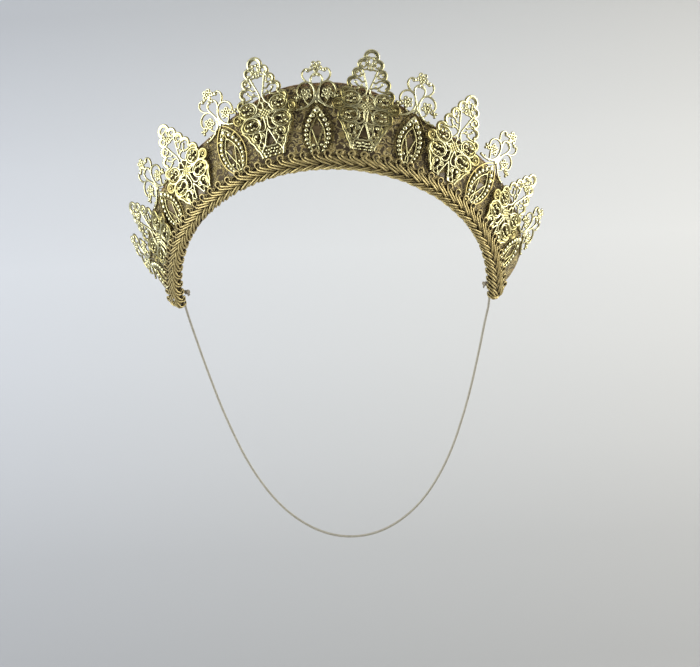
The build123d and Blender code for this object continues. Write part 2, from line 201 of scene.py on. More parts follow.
class Nodes:
    """A short way to write a material's node tree."""

    def __init__(self, name):
        self.material = bpy.data.materials.new(name)
        self.material.use_nodes = True
        self.tree = self.material.node_tree
        self.shader = self.tree.nodes["Principled BSDF"]

    def add(self, kind, inputs=None, **settings):
        """A node of a kind, with its settings, and its inputs by name or number as values or links."""
        node = self.tree.nodes.new("ShaderNode" + kind)
        for key, value in settings.items():
            setattr(node, key, value)
        for key, value in (inputs or {}).items():
            self.join(node, key, value)
        return node

    def join(self, node, key, value):
        """Set one input of a node to a value, or link it to another node's output."""
        if isinstance(value, bpy.types.NodeSocket):
            self.tree.links.new(value, node.inputs[key])
        else:
            node.inputs[key].default_value = value

    def finish(self, **inputs):
        """Set the shader's own inputs, named with _ for a space."""
        for key, value in inputs.items():
            self.join(self.shader, key.replace("_", " "), value)
        return self.material

    def maths(self, operation, first, second=0.0):
        """A sum, a product or another operation on one or two values."""
        return self.add("Math", {0: first, 1: second}, operation=operation).outputs[0]

    def sine(self, value, turns):
        """A wave that repeats a number of times in each unit of the value."""
        return self.maths("SINE", self.maths("MULTIPLY", value, tau * turns))

    def blend(self, first, share, second, other_share):
        """Two values added, each in its share."""
        first, second = self.maths("MULTIPLY", first, share), self.maths("MULTIPLY", second, other_share)
        return self.maths("ADD", first, second)

    def parts(self, vector):
        """The three parts of a vector or a map."""
        return self.add("SeparateXYZ", {0: vector}).outputs

    def spread(self, value, low, high, to_low=0.0, to_high=1.0):
        """A value taken from one range to another, and held inside it."""
        return self.add("MapRange", {0: value, 1: low, 2: high, 3: to_low, 4: to_high}, clamp=True).outputs[0]

    def noise(self, place, scale, detail=3.0, roughness=0.5):
        """Soft random clouds."""
        inputs = {"Vector": place, "Scale": scale, "Detail": detail, "Roughness": roughness}
        return self.add("TexNoise", inputs).outputs["Fac"]

    def colours(self, value, stops):
        """A colour ramp through stops of place and colour."""
        ramp = self.add("ValToRGB", {"Fac": value})
        elements = ramp.color_ramp.elements
        while len(elements) < len(stops):
            elements.new(0.5)
        for element, (place, colour) in zip(elements, stops):
            element.position = place
            element.color = (*colour, 1.0)
        return ramp.outputs[0]

    def mix(self, amount, first, second, kind="MIX"):
        """Two colours mixed."""
        node = self.add("Mix", {0: amount}, data_type="RGBA", blend_type=kind)
        for key, value in ((6, first), (7, second)):
            self.join(node, key, (*value, 1.0) if isinstance(value, tuple) else value)
        return node.outputs[2]

    def bump(self, height, distance, strength):
        """A normal raised by a height between 0 and 1, times a distance in metres."""
        return self.add("Bump", {"Height": height, "Distance": distance, "Strength": strength}).outputs[0]

    def object_place(self):
        """Place on the piece, in metres."""
        return self.add("TexCoord").outputs["Object"]

    def uv(self, name):
        """A piece's own map."""
        return self.add("UVMap", uv_map=name).outputs[0]


# Noise scales are per metre where they are laid on by place, and per millimetre on a piece's own map


def brass_material():
    """Bright polished brass with painted shade and highlight: darker and more olive where the relief is low,
    pale at the crests; old polish lies dark in clouds low on the relief.
    """
    nodes = Nodes("brass")
    place = nodes.object_place()
    crest = nodes.spread(nodes.parts(place)[2], 0.30 * MM, 0.92 * MM)
    cloud = nodes.spread(nodes.noise(place, scale=420.0, detail=4.0, roughness=0.6), 0.35, 0.75)
    tarnish = nodes.maths("MULTIPLY", cloud, nodes.spread(crest, 1.0, 0.1, 0.15, 1.0))
    # painted shade and highlight: the colour runs by height on the relief, from dark olive low down to pale
    # at the crests
    stops = [(0.0, (0.22, 0.17, 0.06)), (0.45, (0.46, 0.40, 0.16)), (1.0, (0.88, 0.83, 0.50))]
    metal = nodes.colours(crest, stops)
    return nodes.finish(
        Base_Color=nodes.mix(tarnish, metal, (0.22, 0.165, 0.065)),
        Metallic=1.0,
        Roughness=nodes.spread(nodes.noise(place, scale=900.0), 0.3, 0.7, 0.16, 0.32),
        Normal=nodes.bump(nodes.noise(place, scale=5200.0, detail=2.0), 0.012 * MM, 0.5),
    )


def thread_material(name, dark, light, metallic, wraps_per_mm, rough, painted_plait_shade=None):
    """Cord wound with thread: fine slanting wraps, each its own shade; a plait also gets painted shade, near
    black where its cords lie deepest.
    """
    nodes = Nodes(name)
    long, around, _ = nodes.parts(nodes.uv("thread"))
    slant = nodes.blend(long, wraps_per_mm, around, 2.0)
    wrap = nodes.spread(nodes.sine(slant, 1.0), -1.0, 1.0)
    shade = nodes.noise(nodes.object_place(), scale=700.0, roughness=0.6)
    colour = nodes.colours(nodes.blend(wrap, 0.45, shade, 0.55), [(0.15, dark), (0.72, light)])
    # painted shade: the plait's colour goes near black the deeper a cord lies, read from its level map
    if painted_plait_shade is not None:
        level = nodes.parts(nodes.uv("level"))[0]
        colour = nodes.mix(nodes.spread(level, -0.28, 0.74), painted_plait_shade, colour)
    return nodes.finish(
        Base_Color=colour,
        Metallic=metallic,
        Roughness=nodes.spread(shade, 0.3, 0.7, *rough),
        Normal=nodes.bump(wrap, 0.05 * MM, 0.7),
    )


def brocade_material(name, ground, figure, thread, shine):
    """Woven brocade: a scrolled figure raised over a darker ground and outlined in bright thread."""
    nodes = Nodes(name)
    cloth = nodes.uv("cloth")
    bend = nodes.add("TexNoise", {"Vector": cloth, "Scale": 0.35, "Detail": 1.0}).outputs["Color"]
    bend = nodes.add("VectorMath", {0: bend, 1: (5.0, 5.0, 0.0)}, operation="MULTIPLY").outputs[0]
    bent = nodes.add("MixRGB", {"Fac": 1.0, "Color1": cloth, "Color2": bend}, blend_type="ADD").outputs[0]
    rings = nodes.add("TexVoronoi", {"Vector": bent, "Scale": 0.30}, feature="F1").outputs["Distance"]
    scroll = nodes.sine(rings, 13.0 / tau)
    vines = nodes.spread(nodes.noise(bent, scale=0.8, detail=2.0), 0.3, 0.7, -0.6, 0.6)
    pattern = nodes.maths("ADD", scroll, vines)
    figured = nodes.spread(pattern, -0.1, 0.35)
    outline = nodes.spread(nodes.maths("ABSOLUTE", nodes.maths("SUBTRACT", pattern, 0.25)), 0.38, 0.10)
    across, along, _ = nodes.parts(cloth)
    weave = nodes.spread(nodes.maths("MULTIPLY", nodes.sine(across, 2.6), nodes.sine(along, 3.4)), -1.0, 1.0)
    slub = nodes.noise(cloth, scale=2.2, detail=4.0, roughness=0.65)
    shade = nodes.spread(nodes.blend(weave, 0.5, slub, 1.0), 0.4, 1.1)
    dark = nodes.mix(shade, tuple(0.45 * value for value in ground), ground)
    gold = nodes.mix(shade, tuple(0.5 * value for value in figure), figure)
    height = nodes.maths("ADD", nodes.blend(figured, 0.9, weave, 0.5), nodes.blend(outline, 0.6, slub, 0.5))
    return nodes.finish(
        Base_Color=nodes.mix(outline, nodes.mix(figured, dark, gold), thread),
        Metallic=nodes.maths("MULTIPLY", figured, shine),
        Roughness=nodes.spread(figured, 0.0, 1.0, 0.70, 0.40),
        Normal=nodes.bump(height, 0.22 * MM, 0.9),
        Sheen_Weight=0.8,
        Sheen_Roughness=0.4,
        Sheen_Tint=(0.95, 0.82, 0.52, 1.0),
    )


def lining_material():
    """Taupe satin: fine long floats in one direction, with a soft shine."""
    nodes = Nodes("lining_cloth")
    cloth = nodes.uv("cloth")
    across, along, _ = nodes.parts(cloth)
    floats = nodes.add("CombineXYZ", {0: nodes.maths("MULTIPLY", across, 0.35), 1: along}).outputs[0]
    thread = nodes.noise(floats, scale=6.0, roughness=0.6)
    shade = nodes.spread(nodes.blend(thread, 0.7, nodes.noise(cloth, scale=0.12), 0.3), 0.3, 0.7)
    twill = nodes.sine(nodes.maths("ADD", across, along), 2.2)
    return nodes.finish(
        Base_Color=nodes.colours(shade, [(0.0, (0.17, 0.125, 0.08)), (1.0, (0.36, 0.28, 0.19))]),
        Roughness=0.5,
        Normal=nodes.bump(nodes.blend(thread, 1.0, twill, 0.3), 0.08 * MM, 0.8),
        Sheen_Weight=0.4,
        Sheen_Roughness=0.4,
    )


def woven_material(name, dark, light, fineness, rough):
    """A plain open weave laid on by place, for the pieces inside the band."""
    nodes = Nodes(name)
    place = nodes.object_place()
    one_way = {"Vector": place, "Scale": fineness * 160.0, "Distortion": 1.5, "Detail": 2.0}
    other_way = {"Vector": place, "Scale": fineness * 150.0, "Distortion": 1.5}
    warp = nodes.add("TexWave", one_way).outputs["Fac"]
    weft = nodes.add("TexWave", other_way, bands_direction="Z").outputs["Fac"]
    weave = nodes.maths("MULTIPLY", warp, weft)
    shade = nodes.blend(weave, 0.6, nodes.noise(place, scale=300.0), 0.4)
    colour = nodes.colours(shade, [(0.1, dark), (0.8, light)])
    return nodes.finish(Base_Color=colour, Roughness=rough, Normal=nodes.bump(weave, 0.15 * MM, 0.8))


def speckled_material(name, dark, light, scale, rough, **shader):
    """Plain stuff with clouds of shade and a fine uneven surface."""
    nodes = Nodes(name)
    place = nodes.object_place()
    cloud = nodes.noise(place, scale, detail=4.0, roughness=0.6)
    return nodes.finish(
        Base_Color=nodes.colours(cloud, [(0.3, dark), (0.7, light)]),
        Roughness=nodes.spread(nodes.noise(place, scale * 3), 0.3, 0.7, rough * 0.8, rough * 1.2),
        Normal=nodes.bump(nodes.noise(place, scale * 6, detail=2.0), 0.04 * MM, 0.6),
        **shader,
    )


BRASS = brass_material()
GIMP = thread_material(
    "gold_braid",
    dark=(0.13, 0.095, 0.028),
    light=(0.92, 0.74, 0.34),
    metallic=0.85,
    wraps_per_mm=2.4,
    rough=(0.24, 0.38),
    # near black painted shade for the deepest parts of the plait
    painted_plait_shade=(0.035, 0.022, 0.008),
)
BROCADE = brocade_material(
    "brocade",
    ground=(0.110, 0.068, 0.025),
    figure=(0.50, 0.38, 0.15),
    thread=(0.86, 0.72, 0.36),
    shine=0.9,
)
BINDING = brocade_material(
    "binding_cloth",
    ground=(0.20, 0.095, 0.038),
    figure=(0.48, 0.28, 0.12),
    thread=(0.66, 0.44, 0.20),
    shine=0.5,
)
LINING = lining_material()
ELASTIC = thread_material(
    "elastic",
    dark=(0.22, 0.20, 0.16),
    light=(0.55, 0.51, 0.42),
    metallic=0.1,
    wraps_per_mm=1.6,
    rough=(0.5, 0.7),
)
KNOT = thread_material(
    "elastic_knot",
    dark=(0.17, 0.15, 0.11),
    light=(0.46, 0.40, 0.31),
    metallic=0.0,
    wraps_per_mm=1.6,
    rough=(0.6, 0.8),
)
STEEL = speckled_material("steel_wire", (0.30, 0.30, 0.31), (0.60, 0.60, 0.61), 800.0, 0.3, Metallic=1.0)
CAD_LOOKS = {
    "buckram_base": woven_material("buckram", (0.46, 0.42, 0.33), (0.80, 0.76, 0.66), 1.0, 0.85),
    "edge_cord": woven_material("cotton_cord", (0.52, 0.47, 0.38), (0.85, 0.81, 0.72), 2.0, 0.9),
    "lower_edge_wire": STEEL,
    "upper_edge_wire": STEEL,
    "glue_spots": speckled_material(
        "glue", (0.13, 0.085, 0.035), (0.24, 0.17, 0.08), 500.0, 0.4, Transmission_Weight=0.2
    ),
}
for node_name, material in CAD_LOOKS.items():
    for material_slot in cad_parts[node_name].material_slots:
        material_slot.material = material
elastic_curve.materials.append(ELASTIC)

# ------------------------------------------------------------------ stampings


GRID = 0.22               # spacing of the points that carry the relief
SEAM = 8                  # points kept past the middle line, where the two halves meet
OPEN = 3.0                # gap given to points far from any metal
WIRE_EDGE = 0.42          # height of a wire's edge above the stamping's back
WEB_LEVEL = 0.50          # height of the flat web between the wires
SHEET = 0.40              # thickness of the metal, whose back is hollow under the relief
ROUNDNESS = 0.4           # 0.5 is a round wire, and less is a flatter one
WEB_RIM = 4               # the web rises to its level in the outer part of its width: more is steeper
LAY_RUN = 16              # a line is laid in runs of this many points
BEND = 1 / 500            # the stampings are bent a little round the band
PETALS = 5
CREASE = radians(58)      # edges sharper than this are not smoothed
CUT_MARGIN = 0.08         # an outline keeps this share of a grid step away from the grid's points
TINY = 1e-12


class Relief:
    """A stamped pattern's right half as heights on a grid, mirrored when it is read."""

    def __init__(self, width, low, high):
        self.x = np.arange(-SEAM, int(width / GRID) + 1) * GRID
        self.y = np.arange(int(low / GRID), int(high / GRID) + 1) * GRID
        self.gap = np.full((len(self.x), len(self.y)), OPEN)
        self.top = np.full((len(self.x), len(self.y)), WIRE_EDGE)

    def lay(self, points, half, crest, flat=False):
        """Lay a strip of metal along points: round like a wire, or flat like a web."""
        points = np.atleast_2d(points)
        reach = half + 2.5 * GRID
        for start in range(0, len(points), LAY_RUN):
            some = points[start:start + LAY_RUN + 1]
            low, high = some.min(axis=0) - reach, some.max(axis=0) + reach
            i = slice(*np.searchsorted(self.x, (low[0], high[0])))
            j = slice(*np.searchsorted(self.y, (low[1], high[1])))
            if i.start == i.stop or j.start == j.stop:
                continue
            grid_x, grid_y = self.x[i][:, None, None], self.y[j][None, :, None]
            far = np.sqrt(np.min((grid_x - some[:, 0]) ** 2 + (grid_y - some[:, 1]) ** 2, axis=2))
            inside = np.clip(1 - (far / half) ** 2, 0, 1)
            swell = np.clip(inside * WEB_RIM, 0, 1) if flat else inside**ROUNDNESS
            self.gap[i, j] = np.minimum(self.gap[i, j], far - half)
            self.top[i, j] = np.maximum(self.top[i, j], WIRE_EDGE + (crest - WIRE_EDGE) * swell)

    def wire(self, points, half=0.38, crest=0.85):
        """A round wire on a smooth line through points."""
        self.lay(smooth_line(points), half, crest)

    def curve(self, *shape, half=0.36, crest=0.85):
        """A round wire along an arc."""
        self.lay(arc(*shape), half, crest)

    def oval(self, x, y, width, height, half=0.42, crest=0.95):
        """A round wire bent to an oval, of half widths."""
        turn = np.linspace(0.0, tau, 220)
        self.lay(np.stack([x + width * np.cos(turn), y + height * np.sin(turn)], axis=-1), half, crest)

    def web(self, points, half, crest=WEB_LEVEL):
        """A flat strip between the wires."""
        self.lay(smooth_line(points), half, crest, flat=True)

    def bead(self, x, y, radius, crest=None):
        """A domed bead, which is taller the wider it is."""
        self.lay([(x, y)], radius, 0.75 + 0.5 * radius if crest is None else crest)

    def flower(self, x, y, start=54.0):
        """Five cupped petals about a small raised middle."""
        self.lay([(x, y)], 1.5, WEB_LEVEL, flat=True)
        for turn in np.radians(start + np.arange(PETALS) * 360.0 / PETALS):
            self.curve(x + 1.95 * np.cos(turn), y + 1.95 * np.sin(turn), 0.78, half=0.40, crest=0.98)
        self.bead(x, y, 0.70, 1.05)

    def whole(self):
        """Both halves: x, y, gap outside the metal, and height."""
        mirror = slice(None, SEAM, -1)
        inside, outside = slice(SEAM, 2 * SEAM + 1), slice(SEAM, None, -1)
        gap, top = self.gap.copy(), self.top.copy()
        gap[inside] = np.minimum(gap[inside], gap[outside])
        top[inside] = np.maximum(top[inside], top[outside])
        x = np.concatenate([-self.x[mirror], self.x[SEAM:]])
        return x, self.y, np.concatenate([gap[mirror], gap[SEAM:]]), np.concatenate([top[mirror], top[SEAM:]])


def scallops(lobes, inset):
    """Outline through a chain of round lobes, drawn in by an inset."""
    runs = []
    for i, (x, y, radius) in enumerate(lobes):
        cut = []
        for other in lobes[max(i - 1, 0):i] + lobes[i + 1:i + 2]:
            gap = np.array(other[:2]) - (x, y)
            far = np.hypot(*gap)
            r0, r1 = radius - inset, other[2] - inset
            near = np.clip((far**2 + r0**2 - r1**2) / (2 * far), -r0, r0)
            cut.append((np.degrees(np.arctan2(gap[1], gap[0])), np.degrees(np.arccos(near / r0))))
        start = 90.0 if i == 0 else cut[0][0] - cut[0][1]
        last = cut[-1]
        end = last[0] + last[1] if i + 1 < len(lobes) else -90.0
        start, end = start % 360.0, end % 360.0
        if end > start:
            end -= 360.0
        runs.append(arc(x, y, radius - inset, start, end))
    return runs


def kite_relief():
    """A scalloped diamond of scrolls.  Its origin is the cluster in its middle."""
    kite = Relief(18.0, -27.0, 30.0)
    lobes = [
        (0.0, 24.5, 3.9),
        (3.5, 20.7, 3.0),
        (5.6, 16.0, 3.0),
        (7.6, 11.4, 3.1),
        (10.0, 6.0, 3.1),
        (13.4, 0.0, 3.0),
        (10.4, -5.0, 3.0),
    ]
    # A bold scalloped border, with a thin wire inside it
    for inset, half, crest in ((0.72, 0.72, 0.98), (1.62, 0.28, 0.78)):
        for run in scallops(lobes, inset):
            kite.lay(run, half, crest)
    # The tapering skirt below the scallops, a wavy double wire
    skirt = [
        (12.9, -6.9),
        (11.4, -8.4),
        (10.3, -10.0),
        (9.6, -12.0),
        (8.2, -13.8),
        (7.3, -16.2),
        (6.0, -18.2),
        (5.3, -20.6),
        (4.6, -24.0),
    ]
    kite.wire(skirt, 0.62, 0.95)
    kite.wire([(x - 1.35, y - 0.2) for x, y in skirt[1:]], 0.30, 0.8)
    kite.web([(x - 0.7, y - 0.1) for x, y in skirt], 0.55)
    # Head: an opening over a little five-beaded knot of scrolls
    kite.wire([(0.0, 24.0), (1.4, 24.3), (2.6, 23.6)], 0.42)
    head_beads = [(0.9, 23.7, 0.55), (2.0, 23.2, 0.55), (1.35, 21.7, 0.62)]
    head_beads += [(0.0, 20.2, 0.62), (1.3, 18.9, 0.6)]
    for x, y, radius in head_beads:
        kite.bead(x, y, radius)
    kite.wire([(2.0, 23.4), (1.1, 22.6), (1.0, 21.2), (1.8, 20.3), (2.6, 20.6)], 0.4)
    kite.wire([(0.0, 21.0), (0.0, 18.6)], 0.42)
    kite.wire([(0.2, 20.3), (1.2, 19.6), (1.4, 18.4)], 0.38)
    kite.curve(3.6, 20.7, 1.5, 90.0, 330.0)
    kite.bead(3.9, 19.6, 0.6)
    kite.wire([(0.0, 17.9), (1.6, 18.3), (3.2, 17.9)], 0.42)
    # Window: two straight walls that flare into the upper loops
    wall = [(3.7, 18.3), (2.8, 15.4), (1.6, 11.8), (0.8, 9.0), (0.9, 7.0), (1.9, 5.2), (3.1, 4.0)]
    kite.wire(wall, 0.45, 0.95)
    kite.curve(5.6, 15.8, 1.35, 40.0, 290.0)
    kite.bead(6.2, 16.4, 0.62)
    kite.bead(4.3, 14.6, 0.62)
    kite.wire([(2.6, 15.9), (3.6, 15.4), (4.6, 14.3)], 0.4)
    kite.wire([(9.6, 9.6), (9.0, 12.0), (7.2, 13.4), (5.0, 13.2), (3.4, 11.9), (2.3, 12.2)], 0.42)
    kite.bead(6.4, 11.6, 0.75)
    kite.wire([(6.4, 11.4), (5.4, 10.2), (3.8, 9.4), (2.4, 9.4), (1.2, 8.6)], 0.4)
    kite.bead(3.4, 10.4, 0.6)
    kite.bead(4.8, 8.6, 0.6)
    kite.wire([(4.6, 9.4), (6.0, 8.2), (8.4, 8.0)], 0.4)
    # Upper loops, each round a scroll and three beads
    kite.oval(7.7, 3.3, 4.35, 3.7)
    kite.oval(7.7, 3.3, 3.45, 2.85, 0.26, 0.78)
    kite.curve(6.0, 3.4, 1.55, 40.0, 330.0, half=0.4)
    kite.curve(9.5, 3.3, 1.5, 150.0, -110.0, half=0.38)
    for x, y in ((9.4, 4.2), (7.8, 1.9), (9.6, 2.0), (6.3, 3.4), (7.9, 5.3)):
        kite.bead(x, y, 0.66)
    # Lower loops, the same turned over
    kite.oval(7.6, -4.5, 4.6, 3.75)
    kite.oval(7.6, -4.5, 3.65, 2.85, 0.26, 0.78)
    kite.curve(5.5, -4.4, 1.75, 40.0, 320.0, half=0.4)
    kite.curve(9.5, -4.6, 1.65, 170.0, -130.0, half=0.4)
    for x, y in ((9.3, -3.9), (7.5, -3.2), (7.6, -6.2), (9.6, -5.9)):
        kite.bead(x, y, 0.68)
    # Bands from the middle out to the side rings
    side_band = [(2.2, 0.9), (3.8, 0.2), (5.6, -0.5), (7.6, -0.75), (9.6, -0.5), (11.4, 0.6), (12.0, 1.6)]
    kite.wire(side_band, 0.42, 0.9)
    kite.wire([(2.2, -0.9), (3.6, -0.6), (5.6, -0.5)], 0.42, 0.9)
    kite.wire([(9.8, -0.6), (11.2, -1.2), (12.0, -1.8)], 0.4, 0.9)
    kite.curve(13.5, 0.0, 1.2, 120.0, 390.0, half=0.34)
    kite.bead(13.6, 0.1, 0.78, 1.1)
    # Middle: sixteen small bumps on a lozenge
    kite.web([(-0.2, 0.0), (0.2, 0.0)], 2.8, 0.55)
    spots = (-1.26, -0.42, 0.42, 1.26)
    for row in spots:
        for column in spots:
            kite.bead(row + column, row - column, 0.46, 0.95)
    kite.wire([(0.0, 2.4), (0.0, 4.6), (1.1, 6.0)], 0.4, 0.85)
    for way in (1, -1):
        kite.wire([(2.9, way * 3.2), (1.9, way * 2.4), (1.2, way * 1.8)], 0.4, 0.85)
    # Foot: a pointed door between small scrolls, and beads above the braid
    kite.wire([(0.9, -2.2), (0.7, -4.4), (0.7, -6.4), (1.4, -7.8), (2.8, -8.4), (4.2, -8.0)], 0.45, 0.92)
    kite.wire([(0.0, -7.6), (0.9, -9.6), (1.9, -12.4), (3.1, -15.9)], 0.45, 0.95)
    kite.wire([(0.0, -16.2), (1.8, -16.4), (3.1, -15.9), (4.4, -17.2), (5.2, -19.0)], 0.42, 0.9)
    kite.curve(6.0, -10.5, 2.3, -70.0, 240.0, half=0.42)
    kite.curve(6.2, -10.7, 1.25, -60.0, 120.0, half=0.36)
    kite.bead(6.2, -10.2, 0.72)
    kite.curve(3.2, -10.4, 1.0, 0.0, 360.0)
    kite.bead(3.2, -10.4, 0.45)
    kite.bead(4.6, -13.2, 0.62)
    kite.curve(4.7, -14.8, 1.2, 0.0, 360.0)
    kite.bead(6.7, -14.2, 0.55)
    for x, y in ((0.0, -17.6), (1.4, -18.0), (2.8, -17.9), (4.0, -19.3)):
        kite.bead(x, y, 0.66)
    for x, y in ((0.7, -19.2), (2.1, -19.6), (3.3, -20.9), (1.4, -20.9)):
        kite.bead(x, y, 0.66)
    kite.web([(0.0, -21.8), (3.0, -22.0)], 1.3)
    return kite


def fleur_relief():
    """A beaded pointed oval under two stems and three flowers.  Its origin is where the stems cross."""
    fleur = Relief(13.0, -31.0, 21.0)
    fleur.flower(0.0, 16.7)
    fleur.wire([(0.0, 15.4), (0.0, 13.8), (0.5, 12.6)], 0.42)
    # Stems, from the shoulders of the oval up to the beads under the top flower
    stem = [(2.6, -1.9), (1.0, -0.4), (0.2, 1.6), (0.9, 4.5)]
    stem += [(2.2, 7.6), (2.8, 10.2), (2.1, 12.0), (1.0, 12.6)]
    fleur.wire(stem, 0.5, 0.98)
    fleur.wire([(0.15, -1.2), (0.2, 1.2), (0.55, 3.2)], 0.5, 0.9)
    fleur.bead(1.0, 12.5, 0.95)
    # Upper side scrolls
    scroll = [(3.6, 8.5), (5.4, 9.8), (6.6, 11.7), (6.7, 13.6), (5.7, 15.2), (4.3, 15.5), (3.2, 14.8)]
    fleur.wire(scroll, 0.46, 0.95)
    fleur.bead(4.0, 14.9, 1.05)
    fleur.bead(2.5, 15.0, 0.6)
    # Big side loops, each round a flower
    loop = [(4.4, -3.4), (2.4, -1.2), (1.2, 1.2), (1.0, 4.0), (1.9, 6.9)]
    loop += [(4.0, 8.8), (6.6, 8.6), (8.6, 6.9), (9.3, 4.4), (8.7, 2.4)]
    fleur.wire(loop, 0.48, 0.98)
    fleur.flower(5.2, 2.9, 60.0)
    fleur.wire([(5.6, 1.0), (5.4, -0.6), (4.0, -2.2)], 0.42)
    for x, y, radius in ((9.1, 1.4, 0.7), (10.3, 1.5, 0.75), (9.8, -0.2, 0.7), (8.5, 2.4, 0.6)):
        fleur.bead(x, y, radius)
    fleur.wire([(7.0, 1.6), (8.0, 0.8), (9.6, 0.7)], 0.4)
    # Arms at the shoulders
    fleur.wire([(3.7, -2.4), (5.4, -3.6), (7.4, -4.4), (9.6, -4.6)], 0.46, 0.9)
    fleur.bead(9.7, -4.6, 0.75)
    fleur.bead(7.4, -3.4, 0.55)
    # Outer pointed line, held by short bars
    outer = [(0.3, -1.6), (2.6, -3.6), (5.2, -7.4), (6.9, -12.0)]
    outer += [(7.3, -16.8), (6.4, -21.4), (4.3, -25.6), (1.6, -29.4)]
    fleur.wire(outer, 0.22, 0.47)
    for low, high in (((3.6, -8.6), (5.6, -8.0)), ((5.0, -14.0), (7.1, -13.6)), ((5.0, -20.0), (6.8, -20.2))):
        fleur.wire([low, high], 0.26, 0.47)
    # Beaded oval on its own thin strip, and the pointed arches inside it
    beads = [
        (0.0, -5.3, 1.45),
        (2.2, -7.8, 1.2),
        (3.7, -10.2, 1.12),
        (4.7, -12.6, 1.05),
        (5.2, -15.0, 1.0),
        (5.3, -17.3, 0.95),
        (5.1, -19.5, 0.9),
        (4.5, -21.6, 0.85),
        (3.7, -23.6, 0.8),
        (2.8, -25.5, 0.75),
    ]
    fleur.web([(x, y) for x, y, radius in beads], 0.42, WIRE_EDGE)
    for x, y, radius in beads:
        fleur.bead(x, y, radius)
    fleur.wire([(0.2, -3.4), (1.6, -5.2), (3.4, -8.0)], 0.38, 0.8)
    arch = [(0.0, -8.6), (1.5, -10.8), (2.9, -13.8), (3.6, -17.4), (3.4, -21.2), (2.2, -25.4), (1.0, -28.8)]
    fleur.wire(arch, 0.30, 0.75)
    fleur.wire([(0.0, -22.4), (1.0, -19.4), (2.0, -16.2), (2.9, -14.0)], 0.30, 0.75)
    fleur.wire([(0.0, -22.4), (0.7, -24.6), (0.3, -27.0)], 0.30, 0.75)
    fleur.wire([(0.0, -9.4), (0.0, -7.2), (0.0, -3.2)], 0.42, 0.6)
    fleur.bead(1.9, -22.6, 0.75)
    fleur.bead(3.4, -27.3, 0.85)
    fleur.bead(1.3, -27.0, 0.7)
    fleur.web([(0.0, -28.4), (2.6, -28.2)], 1.1)
    return fleur


def cut_points(x, y, gap, top, solid):
    """The metal's points, then those where its outline crosses the grid, and tables of their numbers."""
    spots = np.stack([*np.meshgrid(x, y, indexing="ij"), top], axis=-1)
    numbers = np.full(solid.shape, -1)
    numbers[solid] = np.arange(solid.sum())
    places = [spots[solid]]
    crossings = []
    for step in ((1, 0), (0, 1)):
        here = np.s_[:solid.shape[0] - step[0], :solid.shape[1] - step[1]]
        there = np.s_[step[0]:, step[1]:]
        crossed = solid[here] != solid[there]
        share = np.clip(gap[here] / (gap[here] - gap[there] + TINY), CUT_MARGIN, 1 - CUT_MARGIN)[crossed]
        ends = [spots[part][crossed] for part in (here, there)]
        table = np.full(crossed.shape, -1)
        table[crossed] = sum(map(len, places)) + np.arange(crossed.sum())
        places.append(ends[0] + (ends[1] - ends[0]) * share[:, None])
        crossings.append(table)
    return np.vstack(places), numbers, crossings


def edge_face(i, j, solid, numbers, crossings):
    """The part of one grid square that is metal, and the runs of the outline across it."""
    across_x, across_y = crossings
    ring = ((i, j), (i + 1, j), (i + 1, j + 1), (i, j + 1))
    cuts = (across_x[i, j], across_y[i + 1, j], across_x[i, j + 1], across_y[i, j])
    face, rim = [], []
    leaving = None
    for here, there, cut in zip(ring, ring[1:] + ring[:1], cuts):
        if solid[here]:
            face.append(int(numbers[here]))
        if solid[here] == solid[there]:
            continue
        if solid[there] and face:
            rim.append((leaving, int(cut)))
        face.append(int(cut))
        leaving = int(cut)
    if not solid[ring[0]]:
        rim.append((leaving, face[0]))
    return face, rim


def relief_mesh(name, x, y, gap, top):
    """A closed mesh of a stamped sheet, cut where the gap passes zero, with a hollow back."""
    solid = gap < 0
    solid[0, :] = solid[-1, :] = solid[:, 0] = solid[:, -1] = False
    front, numbers, crossings = cut_points(x, y, gap, top, solid)
    corners = np.stack([solid[:-1, :-1], solid[1:, :-1], solid[1:, 1:], solid[:-1, 1:]])
    full = corners.all(axis=0)
    i, j = np.nonzero(full)
    squares = [numbers[i, j], numbers[i + 1, j], numbers[i + 1, j + 1], numbers[i, j + 1]]
    faces = np.stack(squares, axis=-1).tolist()
    rim = []
    for i, j in zip(*np.nonzero(corners.any(axis=0) & ~full)):
        face, runs = edge_face(i, j, solid, numbers, crossings)
        faces.append(face)
        rim += runs
    back = front.copy()
    back[:, 2] = np.maximum(0.0, front[:, 2] - SHEET)
    count = len(front)
    walls = [(b, a, a + count, b + count) for a, b in rim]
    backs = [[count + corner for corner in reversed(face)] for face in faces]
    both = np.vstack([front, back])
    both[:, 2] -= both[:, 0] ** 2 * BEND
    piece = make_object(name, both * MM, faces + backs + walls, BRASS)
    piece.data.set_sharp_from_angle(angle=CREASE)
    return piece


STAMPING_PITCH = 20.35    # along the lower edge
STAMPING_BACK = 1.45      # back of the stampings, out from the middle of the band
BRAID_TOP = 6.3           # height of the braid on the face
KITE_FOOT = BRAID_TOP + 0.15
KITE_RISE = 4.0           # degrees the kites are tipped outwards about their feet
FLEUR_FOOT = 4.3          # the fleurs' feet are tucked behind the braid
# Number along the band, shift to the wearer's left, height of the origin up the flare, lean in degrees
KITES = [
    (-5, 2.5, 15.5, -2.0),
    (-3, -1.0, 21.3, -4.0),
    (-1, 0.6, 27.8, -1.0),
    (1, 0.0, 27.5, 0.0),
    (3, -1.5, 22.5, -1.0),
    (5, -0.5, 18.3, 2.5),
]
FLEURS = [
    (-6, 2.0, 27.5, -1.0),
    (-4, -0.7, 30.8, -5.0),
    (-2, 1.4, 32.0, -6.0),
    (0, 1.1, 30.7, 1.0),
    (2, -0.6, 31.8, -1.5),
    (4, 0.5, 32.3, 8.0),
    (6, -0.3, 29.7, 1.0),
]
TO_ROW = Matrix.Rotation(-CROWN_TILT, 4, "X")


